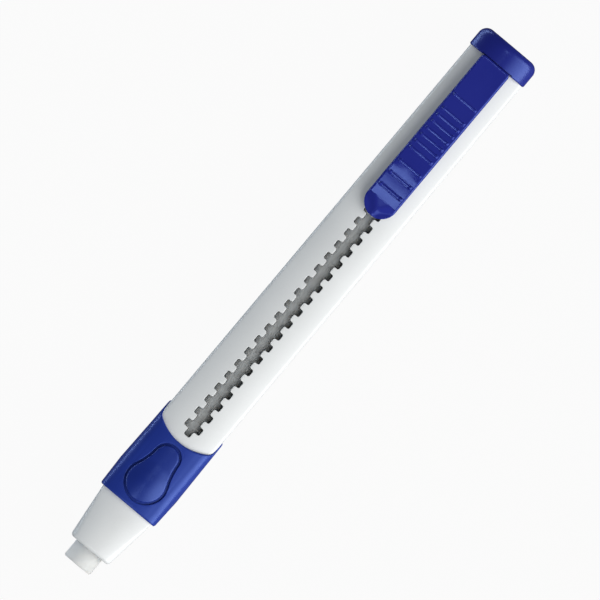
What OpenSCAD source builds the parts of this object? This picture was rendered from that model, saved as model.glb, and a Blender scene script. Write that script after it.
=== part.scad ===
// Stick eraser in a sliding holder. X runs along the holder, with the eraser's tip at -X and the end cap
// at +X. +Z is the slot face, so the holder lies on its back on z = 0. All sizes are in millimetres.

/* [Barrel] */
// Length of the barrel moulding, from inside the grip to the end cap
barrel_l = 109.74; // [108:0.1:112]
// Width across the slot face
barrel_w = 12.9; // [12.5:0.1:14]
// Depth from the crown of the slot face to the back
barrel_d = 10; // [9.9:0.1:11.5]
// Radius of the domed slot face
dome_r = 18.8; // [14:0.1:30]
// Radius of the two front edges
edge_r = 0.85; // [0.5:0.05:1.2]
// Radius of the two back edges
back_r = 2.8; // [2.2:0.1:3.2]
// Width of the flat strip down the back
back_flat = 3.2; // [2.6:0.1:4.5]
// Wall thickness
wall = 1.05; // [0.9:0.05:1.1]

/* [Slot] */
// Least distance from the barrel's front end to the first pocket
slot_set = 18.2; // [16.5:0.1:18.4]
// Pitch of the pockets, which is one click of the slider
pitch = 3; // [2.9:0.05:3.05]
// Length of a pocket along the barrel
pocket_l = 1.55; // [1.4:0.05:1.8]
// Width of the slot across a pocket
pocket_w = 3.8; // [3.6:0.1:4]
// Width of the channel between the pockets
channel_w = 2; // [1.9:0.05:2.2]
// Width of the relief at the slot's front end
lead_w = 1.3; // [1:0.05:1.5]
// Distance from the first pocket to the slot's front end
lead_l = 2.16; // [1.6:0.02:2.4]
// Radius of the pocket corners
pocket_r = 0.25; // [0.1:0.05:0.35]

/* [Eraser] */
// Diameter of the eraser stick
eraser_dia = 6.4; // [6:0.05:6.5]
// Length of eraser that stands out of the nose when stored
tip_out = 3.8; // [2:0.1:8]
// Radius of the eraser's worn end edge
eraser_end_r = 0.3; // [0.1:0.05:0.6]
// Depth of the eraser's axis below the crown of the slot face
axis_drop = 4.6; // [4.5:0.05:4.7]

/* [Nose cone] */
// Length of the nose in front of the grip
nose_l = 11.44; // [9:0.1:14]
// Diameter of the nose at its end
nose_dia = 9.6; // [9:0.1:10]
// Radius of the nose's end edge
nose_end_r = 0.6; // [0.3:0.05:0.9]
// Step from the barrel's surface down to the nose at the grip
nose_step = 0.4; // [0.2:0.05:0.6]
// Thickness of the flange that the grip holds against the barrel
flange_l = 0.8; // [0.5:0.1:1.5]

/* [Grip] */
// Length of the grip along the back
grip_l = 21.1; // [19.5:0.1:23]
// How far the grip stands out of the barrel
grip_proud = 0.62; // [0.5:0.02:0.8]
// How far the grip's front end stands out of the barrel
grip_front_proud = 0.36; // [0.2:0.02:0.5]
// Length over which the grip swells to its full thickness
grip_swell_l = 6.3; // [3:0.1:8]
// Radius of the grip's front edge
grip_edge_r = 0.6; // [0.3:0.05:0.7]
// Radius that the grip's two long front edges gain over the barrel's
grip_soften = 1.33; // [1:0.01:1.4]
// Length of the lip in front of the nose flange
grip_lip = 0.5; // [0.3:0.05:1]
// Depth below the crown over which the rear edge sweeps back
scallop_fall = 1.4; // [1.2:0.05:1.8]
// How far the rear edge is scooped forward on the slot face
scallop_reach = 5.4; // [4.6:0.1:5.8]
// Length over which the horns at the rear edge thin out
horn_taper_l = 4.4; // [3:0.1:4.6]
// Thickness of the horns at their tips
horn_tip_t = 0.12; // [0.1:0.02:0.3]

/* [Finger pad] */
// Distance from the grip's front edge to the pad recess
pad_inset = 1.24; // [1:0.02:1.6]
// Radius of the recess's wide end
pad_big_r = 4.45; // [4:0.05:4.7]
// Radius of the recess's narrow end
pad_small_r = 2.9; // [2.4:0.05:3.2]
// Distance between the two round ends' centres
pad_span = 6.14; // [5:0.02:6.4]
// Radius of the waist between the round ends
pad_waist_r = 14; // [10:0.5:30]
// Width of the groove round the pad
groove_w = 0.5; // [0.25:0.05:0.6]
// Depth of the recess that the pad sits in
groove_d = 0.38; // [0.2:0.02:0.42]
// How far the pad's rim stands out of the grip
pad_proud = 0.06; // [0:0.02:0.2]
// How far the pad's crown rises above its rim
pad_crown = 0.4; // [0.1:0.05:0.5]

/* [Thumb slider] */
// Length of the slider plate
plate_l = 38.07; // [37.5:0.01:39]
// Width of the slider plate
plate_w = 6.9; // [6:0.1:7.4]
// Thickness of the slider plate
plate_t = 1; // [0.9:0.05:1.2]
// Gap between the stored plate and the crown of the barrel
plate_gap = 0.95; // [0.9:0.05:1.2]
// Distance from the tooth to the plate's rounded nose
nose_over = 3.63; // [3:0.01:4]
// Length of the sloping nose
plate_slope_l = 3.3; // [2.6:0.1:4]
// Thickness of the plate at the tip of its nose
plate_tip_t = 0.45; // [0.4:0.05:0.6]
// Half width of the sloping nose's middle, at the crest, between its two side facets
facet_in = 1.98; // [1.6:0.02:2.4]
// Fall of the side facets across the plate, as a share of the distance
facet_fall = 0.2; // [0.1:0.01:0.22]
// Length of the thumb dish behind the nose
dish_l = 8.7; // [7:0.1:9]
// Depth of the thumb dish
dish_d = 0.35; // [0.2:0.05:0.45]
// Radius of the plate's rear corners
plate_rear_r = 0.9; // [0.3:0.05:1]
// Radius of the plate's long top edges
plate_edge_r = 0.45; // [0.15:0.05:0.5]
// Length of a grip rib across the plate
rib_w = 4.9; // [4:0.1:5.4]
// Radius of a grip rib
rib_r = 0.2; // [0.12:0.01:0.25]
// Distance from the plate's nose to the first rib
dish_rib_set = 6.02; // [5.5:0.02:6.4]
// Pitch of the ribs in the dish
dish_rib_pitch = 2.92; // [2.7:0.01:3]
// Distance from the plate's nose to the first fine rib
fine_rib_set = 15.17; // [14:0.01:16]
// Pitch of the fine ribs behind the dish
fine_rib_pitch = 1.63; // [1.4:0.01:1.7]
// Number of fine ribs
fine_ribs = 7; // [4:1:8]
// Distance from the plate's nose to the last rib, which stands alone
last_rib_set = 28.39; // [27.5:0.01:30]
// Thickness of the necks that pass through the channel
neck_t = 1.8; // [1.5:0.05:1.8]
// Distance from the tooth to the front neck
neck_set = 2.3; // [2:0.1:3]
// Length of the front neck along the barrel
neck_l = 3.2; // [2:0.1:4]
// Length of the rear neck along the barrel
pin_neck_l = 1.5; // [1.2:0.05:1.55]
// Diameter of the slider's hinge pin
pin_dia = 2; // [1.6:0.05:2.1]
// Length of the slider's hinge pin
pin_l = 5; // [4:0.1:5.4]
// Depth of the hinge pin's axis below the crown of the barrel
pin_drop = 2.6; // [2.5:0.05:2.9]
// Distance from the hinge pin to the plate's rear end
pin_inset = 8.9; // [7:0.1:10]

/* [Carrier] */
// Length of the jaws that hold the eraser
jaw_l = 8; // [6:0.1:8.5]
// Width of the opening over the jaws
jaw_gap = 4.6; // [4.2:0.1:5]
// Thickness of the wall behind the eraser
bulkhead_t = 1.05; // [0.8:0.05:1.4]
// Length of the latch spring's free arm behind the tooth
arm_l = 17; // [14:0.1:18]
// Thickness of the latch spring's arm
arm_t = 0.8; // [0.5:0.05:0.9]
// Width of the latch spring
latch_w = 3.4; // [3:0.05:3.5]
// Length of the tooth along the barrel
tooth_l = 1.3; // [1.1:0.05:1.35]
// How far the tooth reaches into a pocket
tooth_bite = 0.6; // [0.4:0.05:0.75]
// Depth of the well that the latch spring bends into
well_d = 2; // [1.9:0.05:2.4]
// Length of the block that roots the latch spring in the carrier
root_l = 3; // [2:0.1:4]
// Length of carrier behind the slider's hinge pin
carrier_tail = 4.5; // [3:0.1:5]

/* [End cap] */
// Length of the cap outside the barrel
cap_l = 4.8; // [4:0.1:6]
// How far the cap's sides stand out of the barrel
cap_proud = 0.3; // [0.2:0.02:0.5]
// Radius of the cap's domed crown
cap_dome_r = 8.9; // [8.5:0.1:10]
// Radius of the cap's end edge over its crown
cap_end_r = 1.06; // [0.6:0.02:1.4]
// Radius of the cap's end edges at its two sides
cap_side_r = 1.9; // [1.4:0.05:2.2]
// Radius of the cap's front edge
cap_front_r = 0.3; // [0.1:0.05:0.34]
// Depth of the notch that clears the slider's rear end
notch_d = 0.35; // [0.3:0.05:0.8]

/* [Fits] */
// Radial clearance between the eraser and the nose bore
nose_fit = 0.08; // [0.03:0.01:0.1]
// Radial clearance between the eraser and the carrier's jaws
jaw_fit = 0.02; // [0.01:0.01:0.05]
// Clearance between the carrier and the barrel's walls
carrier_fit = 0.1; // [0.05:0.01:0.12]
// Clearance of the plugs in the barrel's ends
plug_fit = 0.05; // [0.02:0.01:0.08]
// Radial clearance of the slider's hinge pin
pin_fit = 0.05; // [0.02:0.01:0.08]
// Gap left at the stops and between the neck and the latch spring
stop_gap = 0.3; // [0.2:0.05:0.4]

/* [Hidden] */
$fn = 64;

// Radius of the corners inside the barrel
cavity_edge_r = 0.3;
// Overshoot of the cutting shapes
over = 1;
// Angles at which a rounded end edge is stepped
edge_steps = [0, 22.5, 45, 67.5, 90];
// How sharply the grip's rear edge turns back at its sides
scallop_power = 2.2;
// Size of a rib's end dots against the rib
rib_dot = 1.2;

// Heights
back_z = grip_proud;
crown_z = back_z + barrel_d;
axis_z = crown_z - axis_drop;
plate_under_z = crown_z + plate_gap;
plate_top_z = plate_under_z + plate_t;
pin_z = crown_z - pin_drop;

// Places along the holder, from the eraser's tip to the end of the cap
total_l = tip_out + nose_l + grip_lip + flange_l + barrel_l + cap_l;
tip_x = -total_l / 2;
nose_x = tip_x + tip_out;
grip_x = nose_x + nose_l;
flange_x = grip_x + grip_lip;
barrel_x = flange_x + flange_l;
cap_x = barrel_x + barrel_l;
end_x = cap_x + cap_l;
grip_end_x = grip_x + grip_l;
plate_end_x = cap_x + notch_d - stop_gap / 2;
plate_x = plate_end_x - plate_l;
tooth_x = plate_x + nose_over;
clicks = floor((tooth_x - barrel_x - slot_set) / pitch);
travel = clicks * pitch;
pocket_x = tooth_x - travel;
pin_x = plate_end_x - pin_inset;
eraser_end_x = tooth_x - tooth_l / 2 - stop_gap - bulkhead_t;
jaw_x = eraser_end_x - jaw_l;
spigot_end_x = jaw_x - travel - stop_gap;
well_x = tooth_x - tooth_l / 2 - stop_gap;
root_x = tooth_x + arm_l;
carrier_end_x = pin_x + carrier_tail;
dish_x = plate_x + plate_slope_l + dish_l / 2;
dish_r = (pow(dish_l / 2, 2) + pow(dish_d, 2)) / (2 * dish_d);
pin_mouth = 0.9 * pin_dia;
plug_x = carrier_end_x + stop_gap;

// Height of the domed slot face, `off` outside the barrel's surface, at a distance y from the middle
function dome_z(off, y) = crown_z - dome_r + sqrt(pow(dome_r + off, 2) - y * y);

// Top of the latch spring's arm and the floor of the well it bends into
latch_z = dome_z(-wall, latch_w / 2) - carrier_fit;
well_z = crown_z - wall - well_d;

// Points along an arc from angle a to angle b
function arc(c, r, a, b, n) = [for (i = [0:n]) let (t = a + (b - a) * i / n) c + r * [cos(t), sin(t)]];

function tail(v) = [for (i = [1:len(v) - 1]) v[i]];

// Outline across the holder as points, drawn anticlockwise from the back: a domed front of radius rd, two
// front edges of radius re and two back edges of radius rb, for the half width hw and the half flat hf
function outline(hw, zc, zb, rd, re, rb, hf) =
    let (edge = [hw - re, zc - rd + sqrt(pow(rd - re, 2) - pow(hw - re, 2))],
         back = [hf, zb + rb],
         lean = atan2(edge[1] - back[1], edge[0] - back[0]) - 90,
         side = lean + asin((rb - re) / norm(edge - back)),
         top = asin((hw - re) / (rd - re)),
         right = concat(arc(back, rb, -90, side, 10), arc(edge, re, side, 90 - top, 6),
                        tail(arc([0, zc - rd], rd, 90 - top, 90, 8))))
    concat(right, [for (i = [len(right) - 2:-1:0]) [-right[i][0], right[i][1]]]);

// The barrel's outline moved outwards by `off`, inwards where it is negative
function shell_points(off) =
    outline(barrel_w / 2 + off, crown_z + off, back_z - off, dome_r + off,
            max(edge_r + off, cavity_edge_r), back_r + off, back_flat / 2);

// The grip's outline at a distance `off` outside the barrel, with softer front edges than the barrel's
function grip_points(off) =
    outline(barrel_w / 2 + off, crown_z + off, back_z - off, dome_r + off,
            max(edge_r + off + grip_soften * off / grip_proud, cavity_edge_r), back_r + off, back_flat / 2);

// The cap's outline, which reaches down to the rest plane and up to the slider's top. It is moved outwards by
// `off`, and its sides by `side`
function cap_points(off, side) =
    outline(barrel_w / 2 + cap_proud + side, plate_top_z + off, -off, cap_dome_r + off,
            edge_r + cap_proud + off, back_r + cap_proud + off, back_flat / 2);

// How far a rounded edge of radius r lies inside its corner, at a distance d from the end
function fillet(r, d) = d < r ? sqrt(r * r - pow(r - d, 2)) - r : 0;

// Stands a drawing in Y and Z up at x and gives it the length l along the holder
module along(x, l) {
    translate([x, 0, 0]) rotate([90, 0, 90]) linear_extrude(l) children();
}

// A length of the barrel's outline moved outwards by `off`
module shell(x, l, off) {
    along(x, l) polygon(shell_points(off));
}

// An outline stood up at x as a ring of points in space
function ring(x, points) = [for (p = points) [x, p[0], p[1]]];

// Rings that round off an end edge of radius r, in the order of x: the face is at x, the body lies towards
// `dir`, and `points` gives the outline moved outwards by its argument
function rounded_end(x, dir, r, points) =
    [for (a = dir > 0 ? edge_steps : [for (i = [len(edge_steps) - 1:-1:0]) edge_steps[i]])
        ring(x + dir * r * (1 - cos(a)), points(r * (sin(a) - 1)))];

// A closed skin over rings that have the same number of points
module loft(rings) {
    n = len(rings[0]);
    last = (len(rings) - 1) * n;
    sides = [for (i = [0:len(rings) - 2], j = [0:n - 1])
                let (a = i * n + j, b = i * n + (j + 1) % n)
                each [[a, a + n, b + n], [a, b + n, b]]];
    polyhedron([for (r = rings) each r],
               concat(sides, [[for (j = [0:n - 1]) j], [for (j = [n - 1:-1:0]) last + j]]));
}

// A bar along the holder with a square section: x to x + l, the width w, from z0 up to z1
module bar(x, l, w, z0, z1) {
    translate([x, -w / 2, z0]) cube([l, w, z1 - z0]);
}

// A rectangle round a centre with rounded corners
module soft_rect(cx, l, w, r) {
    union() {
        translate([cx - l / 2 + r, -w / 2]) square([l - 2 * r, w]);
        translate([cx - l / 2, -w / 2 + r]) square([l, w - 2 * r]);
        for (sx = [-1, 1], sy = [-1, 1])
            translate([cx + sx * (l / 2 - r), sy * (w / 2 - r)]) circle(r, $fn = 24);
    }
}

// A round bar along the holder's axis
module rod(x, l, r) {
    translate([x, 0, axis_z]) rotate([0, 90, 0]) cylinder(r = r, h = l);
}

// The castellated slot, seen from above: a channel with pockets on both sides
module slot_outline() {
    translate([pocket_x - lead_l, -lead_w / 2]) square([lead_l, lead_w]);
    translate([pocket_x, -channel_w / 2]) square([cap_x + over - pocket_x, channel_w]);
    for (i = [0:clicks + 1]) soft_rect(pocket_x + i * pitch, pocket_l, pocket_w, pocket_r);
}

module barrel() {
    color("white")
    difference() {
        shell(barrel_x, barrel_l, 0);
        shell(barrel_x - over, barrel_l + 2 * over, -wall);
        translate([0, 0, axis_z]) linear_extrude(barrel_d) slot_outline();
    }
}

// The nose's round end as a ring of radius r, with its points in line with those of the grip's end
function nose_points(r) =
    [for (p = shell_points(-nose_step)) let (q = p - [0, axis_z]) [0, axis_z] + r * q / norm(q)];

module nose_cone() {
    color("white")
    difference() {
        union() {
            loft(concat(rounded_end(nose_x, 1, nose_end_r, function(off) nose_points(nose_dia / 2 + off)),
                        [ring(grip_x, shell_points(-nose_step)), ring(flange_x, shell_points(-nose_step))]));
            shell(flange_x, flange_l, 0);
            shell(barrel_x, spigot_end_x - barrel_x, -wall - plug_fit);
        }
        rod(nose_x - over, spigot_end_x - nose_x + 2 * over, eraser_dia / 2 + nose_fit);
    }
}

// Where the grip's rear edge lies at a depth below the barrel's crown
function scallop_x(drop) = grip_end_x - scallop_reach * exp(-pow(drop / scallop_fall, scallop_power));

// The side view of what is cut away behind the grip's rear edge, which stands upright over the crown
module scallop_outline() {
    polygon(concat([[grip_end_x + over, crown_z + over], [scallop_x(0), crown_z + over]],
                   [for (i = [0:24]) let (drop = crown_z * pow(i / 24, 2)) [scallop_x(drop), crown_z - drop]],
                   [[scallop_x(crown_z), -over], [grip_end_x + over, -over]]));
}

// The pear-shaped outline of the finger pad's recess, moved inwards by `inset`
module pear(inset) {
    big = [grip_x + pad_inset + pad_big_r, 0];
    small = big + [pad_span, 0];
    to_big = pad_big_r + pad_waist_r;
    to_small = pad_small_r + pad_waist_r;
    wx = (pow(to_big, 2) - pow(to_small, 2) + pow(pad_span, 2)) / (2 * pad_span);
    wy = sqrt(pow(to_big, 2) - pow(wx, 2));
    big_a = atan2(wy, wx);
    small_a = atan2(wy, wx - pad_span);
    polygon(concat(arc(big, pad_big_r - inset, big_a, 360 - big_a, 32),
                   arc(big + [wx, -wy], pad_waist_r + inset, 180 - big_a, 180 - small_a, 8),
                   arc(small, pad_small_r - inset, -small_a, small_a, 24),
                   arc(big + [wx, wy], pad_waist_r + inset, small_a - 180, big_a - 180, 8)));
}

module grip_sleeve() {
    color("mediumblue")
    difference() {
        loft(concat(rounded_end(grip_x, 1, grip_edge_r, function(off) grip_points(grip_front_proud + off)),
                    [ring(grip_x + grip_swell_l, grip_points(grip_proud)),
                     ring(grip_end_x - horn_taper_l, grip_points(grip_proud)),
                     ring(grip_end_x, grip_points(horn_tip_t))]));
        shell(grip_x - over, grip_lip + 2 * over, -nose_step);
        shell(flange_x, grip_l, 0);
        translate([0, barrel_w, 0]) rotate([90, 0, 0]) linear_extrude(2 * barrel_w) scallop_outline();
        difference() {
            translate([0, 0, axis_z]) linear_extrude(barrel_d) pear(0);
            shell(grip_x - over, grip_l, grip_proud - groove_d);
        }
    }
}

module grip_pad() {
    rim_z = crown_z + grip_proud + pad_proud;
    color("mediumblue")
    difference() {
        intersection() {
            translate([0, 0, axis_z]) linear_extrude(barrel_d) pear(groove_w);
            union() {
                shell(grip_x, grip_l, grip_proud + pad_proud);
                translate([grip_x + pad_inset + pad_big_r, 0, rim_z + pad_crown - dome_r])
                    sphere(dome_r, $fn = 128);
            }
        }
        shell(grip_x - over, grip_l, grip_proud - groove_d);
    }
}

module end_cap() {
    color("mediumblue")
    difference() {
        union() {
            loft(concat(rounded_end(cap_x, 1, cap_front_r, function(off) cap_points(off, off)),
                        [for (a = [90:-15:0]) let (d = cap_side_r * (1 - cos(a)))
                            ring(end_x - d, cap_points(fillet(cap_end_r, d), fillet(cap_side_r, d)))]));
            shell(plug_x, cap_x - plug_x, -wall - plug_fit);
        }
        bar(cap_x - over, notch_d + over, plate_w + stop_gap, plate_under_z - stop_gap, plate_top_z + over);
    }
}

module eraser_carrier() {
    color("gainsboro")
    difference() {
        shell(jaw_x, carrier_end_x - jaw_x, -wall - carrier_fit);
        rod(jaw_x - over, jaw_l + over, eraser_dia / 2 + jaw_fit);
        bar(jaw_x - over, jaw_l + over, jaw_gap, axis_z, crown_z);
        bar(well_x, root_x + root_l - well_x, latch_w + 2 * carrier_fit, well_z, crown_z);
        translate([pin_x, pin_l / 2 + carrier_fit, pin_z]) rotate([90, 0, 0])
            cylinder(r = pin_dia / 2 + pin_fit, h = pin_l + 2 * carrier_fit);
        bar(pin_x - pin_mouth / 2, pin_mouth, pin_l + 2 * carrier_fit, pin_z, crown_z);
    }
}

module latch_spring() {
    arm_x = tooth_x - tooth_l / 2;
    color("silver") {
        bar(root_x, root_l, latch_w, well_z, latch_z);
        bar(arm_x, root_x - arm_x, latch_w, latch_z - arm_t, latch_z);
        bar(arm_x, tooth_l, latch_w, latch_z - arm_t, crown_z - wall + tooth_bite);
    }
}

// The slider plate's side view: a sloping nose, a thumb dish and a flat back
module plate_side() {
    crest_x = plate_x + plate_slope_l;
    difference() {
        polygon([[plate_x, plate_under_z], [plate_end_x, plate_under_z], [plate_end_x, plate_top_z],
                 [crest_x, plate_top_z], [plate_x, plate_under_z + plate_tip_t]]);
        translate([dish_x, plate_top_z - dish_d + dish_r]) circle(dish_r, $fn = 256);
    }
}

// The slider plate seen from above: a round nose and two small rear corners
module plate_outline() {
    translate([plate_x + plate_w / 2, 0]) circle(plate_w / 2);
    translate([plate_x + plate_w / 2, -plate_w / 2])
        square([plate_end_x - plate_x - plate_w / 2 - plate_rear_r, plate_w]);
    soft_rect(plate_end_x - plate_w / 2, plate_w, plate_w, plate_rear_r);
}

// The slider plate seen from its end: a bar with two rounded top edges
module plate_section() {
    translate([-plate_w / 2, plate_under_z]) square([plate_w, plate_t - plate_edge_r]);
    translate([plate_edge_r - plate_w / 2, plate_under_z]) square([plate_w - 2 * plate_edge_r, plate_t]);
    for (side = [-1, 1])
        translate([side * (plate_w / 2 - plate_edge_r), plate_top_z - plate_edge_r])
            circle(plate_edge_r, $fn = 24);
}

// A grip rib across the plate, with a dot at each end
module rib(x) {
    z = abs(x - dish_x) < dish_l / 2
        ? plate_top_z - dish_d + dish_r - sqrt(pow(dish_r, 2) - pow(x - dish_x, 2)) : plate_top_z;
    translate([x, rib_w / 2, z]) rotate([90, 0, 0]) cylinder(r = rib_r, h = rib_w, $fn = 24);
    for (side = [-1, 1]) translate([x, side * rib_w / 2, z]) sphere(rib_r * rib_dot, $fn = 24);
}

// What is cut off the slider's nose above its two side facets, which rise from the tip to the crest
module above_facets() {
    rise = (plate_t - plate_tip_t + facet_fall * facet_in) / plate_slope_l;
    tilt = atan(norm([rise, facet_fall]));
    for (side = [-1, 1])
        translate([plate_x, 0, plate_under_z + plate_tip_t])
            rotate([0, -tilt, -side * atan2(facet_fall, rise)])
                translate([-plate_w, -plate_w, 0]) cube([3 * plate_w, 2 * plate_w, 2 * plate_t]);
}

module thumb_slider() {
    color("blue") {
        difference() {
            intersection() {
                translate([0, plate_w / 2, 0]) rotate([90, 0, 0]) linear_extrude(plate_w) plate_side();
                translate([0, 0, crown_z]) linear_extrude(barrel_d) plate_outline();
                along(plate_x - over, plate_l + 2 * over) plate_section();
            }
            above_facets();
        }
        for (i = [0:2]) rib(plate_x + dish_rib_set + i * dish_rib_pitch);
        for (i = [0:fine_ribs - 1]) rib(plate_x + fine_rib_set + i * fine_rib_pitch);
        rib(plate_x + last_rib_set);
        bar(tooth_x + neck_set, neck_l, neck_t, latch_z + carrier_fit, plate_under_z);
        bar(pin_x - pin_neck_l / 2, pin_neck_l, neck_t, pin_z, plate_under_z);
        translate([pin_x, pin_l / 2, pin_z]) rotate([90, 0, 0]) cylinder(r = pin_dia / 2, h = pin_l);
    }
}

module eraser_stick() {
    r = eraser_dia / 2;
    l = eraser_end_x - tip_x - carrier_fit;
    color("whitesmoke")
    translate([tip_x, 0, axis_z]) rotate([0, 90, 0]) rotate_extrude() {
        square([r - eraser_end_r, l]);
        translate([0, eraser_end_r]) square([r, l - eraser_end_r]);
        translate([r - eraser_end_r, eraser_end_r]) circle(eraser_end_r, $fn = 32);
    }
}

barrel();
nose_cone();
grip_sleeve();
grip_pad();
end_cap();
eraser_carrier();
latch_spring();
thumb_slider();
eraser_stick();
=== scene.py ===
# %% [markdown]
# # A stick eraser in a sliding holder
# The holder is a long white tube with a toothed slot down its face. A blue thumb slider clicks along the
# slot and pushes a round stick of eraser out of the nose. The CAD model is loaded first and never changed:
# it is the frame. Every visible piece is then modelled afresh with smooth curves and small roundings, and
# rides on the CAD body that it belongs to.

import math

import bmesh
import bpy
from mathutils import Matrix, Vector


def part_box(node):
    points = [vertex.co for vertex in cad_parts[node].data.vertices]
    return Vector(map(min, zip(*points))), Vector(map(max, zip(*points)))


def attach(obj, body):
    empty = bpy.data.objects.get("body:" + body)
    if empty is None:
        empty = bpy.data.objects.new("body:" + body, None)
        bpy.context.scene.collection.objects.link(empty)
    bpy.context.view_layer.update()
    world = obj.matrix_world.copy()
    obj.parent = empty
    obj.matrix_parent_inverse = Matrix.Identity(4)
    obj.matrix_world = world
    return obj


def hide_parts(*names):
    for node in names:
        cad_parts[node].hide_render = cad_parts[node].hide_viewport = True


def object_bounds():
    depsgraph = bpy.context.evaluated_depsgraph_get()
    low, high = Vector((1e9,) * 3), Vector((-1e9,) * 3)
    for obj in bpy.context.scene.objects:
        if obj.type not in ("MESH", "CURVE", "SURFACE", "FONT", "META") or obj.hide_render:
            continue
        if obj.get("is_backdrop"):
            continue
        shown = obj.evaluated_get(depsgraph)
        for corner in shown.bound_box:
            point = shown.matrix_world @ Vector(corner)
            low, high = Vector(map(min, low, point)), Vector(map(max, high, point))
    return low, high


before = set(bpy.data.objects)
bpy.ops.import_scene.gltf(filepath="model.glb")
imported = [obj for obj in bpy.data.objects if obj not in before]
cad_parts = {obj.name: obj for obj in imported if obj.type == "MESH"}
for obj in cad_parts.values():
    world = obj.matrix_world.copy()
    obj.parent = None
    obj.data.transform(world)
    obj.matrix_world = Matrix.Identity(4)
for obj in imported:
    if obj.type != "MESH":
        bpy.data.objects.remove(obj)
cad_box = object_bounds()

# %% [markdown]
# ## Working in millimetres
# Small plastic parts are easier to model in millimetres: a rounding of 0.1 mm is 0.1, and Blender's merge
# and bevel tolerances behave. So each mesh is modelled in millimetres and scaled to metres once, when it is
# finished. Places and main sizes are read from the CAD nodes, so a piece can't drift away from its node.

# %% Sizes read from the frame
MM = 0.001


def span(node):
    """The lowest and highest corner of a CAD node, in millimetres."""
    low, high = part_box(node)
    return low / MM, high / MM


barrel_low, barrel_high = span("barrel")
nose_low, nose_high = span("nose_cone")
sleeve_low, sleeve_high = span("grip_sleeve")
cap_low, cap_high = span("end_cap")
slider_low, slider_high = span("thumb_slider")
eraser_low, eraser_high = span("eraser_stick")

crown = barrel_high.z
axis = (eraser_low.z + eraser_high.z) / 2
grip_proud = sleeve_high.z - crown
plate_top = cap_high.z
print(f"barrel {barrel_high.x - barrel_low.x:.2f} mm long, crown at {crown:.2f} mm, axis at {axis:.2f} mm")

# %% [markdown]
# ## The outline across the holder
# Cut across, the holder is a rounded trapezoid: a domed face, two tight front edges, sides that lean in,
# two soft back edges and a flat back. It could be drawn as a curve and extruded, but the barrel, the grip,
# the nose and the cap all share it at slightly different sizes. So a small function walks along its five
# runs, from the crown round to the middle of the back, and serves them all: a share of 1.5 means halfway
# along the second run.

# %% Walking along the outline
barrel_shape = {
    "half": barrel_high.y, "top": crown, "bottom": barrel_low.z,
    "dome": 18.8, "edge": 0.85, "back": 2.8, "flat": 1.6, "least": 0.3,
}
cap_shape = {
    "half": cap_high.y, "top": cap_high.z, "bottom": cap_low.z,
    "dome": 8.9, "edge": 1.15, "back": 3.1, "flat": 1.6, "least": 0.02,
}


def arc(centre, radius, start, end):
    """A run round a centre, as its length and a function from 0..1 to a point."""
    def at(t):
        angle = start + (end - start) * t
        return centre + radius * Vector((math.cos(angle), math.sin(angle)))
    return radius * abs(end - start), at


def straight(a, b):
    """A straight run between two points, in the same form."""
    return (b - a).length, lambda t: a.lerp(b, t)


def edge_of(half, top, dome, edge):
    """The centre of the front edge's rounding, which touches the dome and the outermost line."""
    return Vector((half - edge, top - dome + math.sqrt((dome - edge) ** 2 - (half - edge) ** 2)))


def runs(shape, off=0.0):
    """The five runs of half the outline moved outwards by off: dome, edge, side, back edge, back."""
    half, top, bottom = shape["half"] + off, shape["top"] + off, shape["bottom"] - off
    dome, back = shape["dome"] + off, shape["back"] + off
    edge = max(shape["edge"] + off, shape["least"])
    edge_centre = edge_of(half, top, dome, edge)
    back_centre = Vector((shape["flat"], bottom + back))
    rise = edge_centre - back_centre
    side = math.atan2(rise.y, rise.x) - math.pi / 2 + math.asin((back - edge) / rise.length)
    turn = math.pi / 2 - math.asin((half - edge) / (dome - edge))
    front = arc(edge_centre, edge, turn, side)
    rear = arc(back_centre, back, side, -math.pi / 2)
    return [
        arc(Vector((0, top - dome)), dome, math.pi / 2, turn),
        front,
        straight(front[1](1), rear[1](0)),
        rear,
        straight(rear[1](1), Vector((0, bottom))),
    ]


def around(shape, share, off=0.0):
    """The point (y, z) at a share of the way round; negative shares are on the other side."""
    run = min(int(abs(share)), 4)
    point = runs(shape, off)[run][1](abs(share) - run)
    return Vector((math.copysign(point.x, share), point.y))


half_girth = sum(length for length, at in runs(barrel_shape))
print(f"the outline is {2 * half_girth:.2f} mm round")

# %% [markdown]
# ## Cut flat, then wrap
# The slot has 21 pockets with rounded corners and a softened rim, and it lies in a curved wall. Cutting a
# curved wall leaves slivers where its facets cross the cut, and a bevel then stumbles over them. So the
# barrel and the grip start as flat plates, as if unrolled. They are cut and bevelled while flat, sliced
# lengthwise into narrow strips, and then every point is wrapped onto the outline. The two long edges meet
# down the back. These tools make and cut such plates, and pick the edges to round by where they lie.

# %% Tools for plates
def plate(x0, x1, half_width, low, high):
    """A flat bar: x along the holder, y the distance round it, z the height off the outline."""
    bm = bmesh.new()
    bmesh.ops.create_cube(bm, size=1)
    bmesh.ops.scale(bm, vec=(x1 - x0, 2 * half_width, high - low), verts=bm.verts)
    bmesh.ops.translate(bm, vec=((x0 + x1) / 2, 0, (low + high) / 2), verts=bm.verts)
    return bm


def link(name, bm):
    """Puts a bmesh into the scene as an object."""
    mesh = bpy.data.meshes.new(name)
    bm.to_mesh(mesh)
    bm.free()
    made = bpy.data.objects.new(name, mesh)
    bpy.context.scene.collection.objects.link(made)
    return made


def carve(bm, knife, operation="DIFFERENCE"):
    """Cuts the solid in knife out of bm with a Boolean modifier, or joins them with UNION."""
    body, tool = link("body", bm), link("tool", knife)
    boolean = body.modifiers.new("carve", "BOOLEAN")
    boolean.operation, boolean.object = operation, tool
    boolean.solver, boolean.use_self = "EXACT", True
    result = bmesh.new()
    result.from_object(body, bpy.context.evaluated_depsgraph_get())
    for used in (body, tool):
        mesh = used.data
        bpy.data.objects.remove(used)
        bpy.data.meshes.remove(mesh)
    return result


def near(a, b, slack=1e-3):
    """Whether two measures are the same, within a hair."""
    return abs(a - b) < slack


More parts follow.
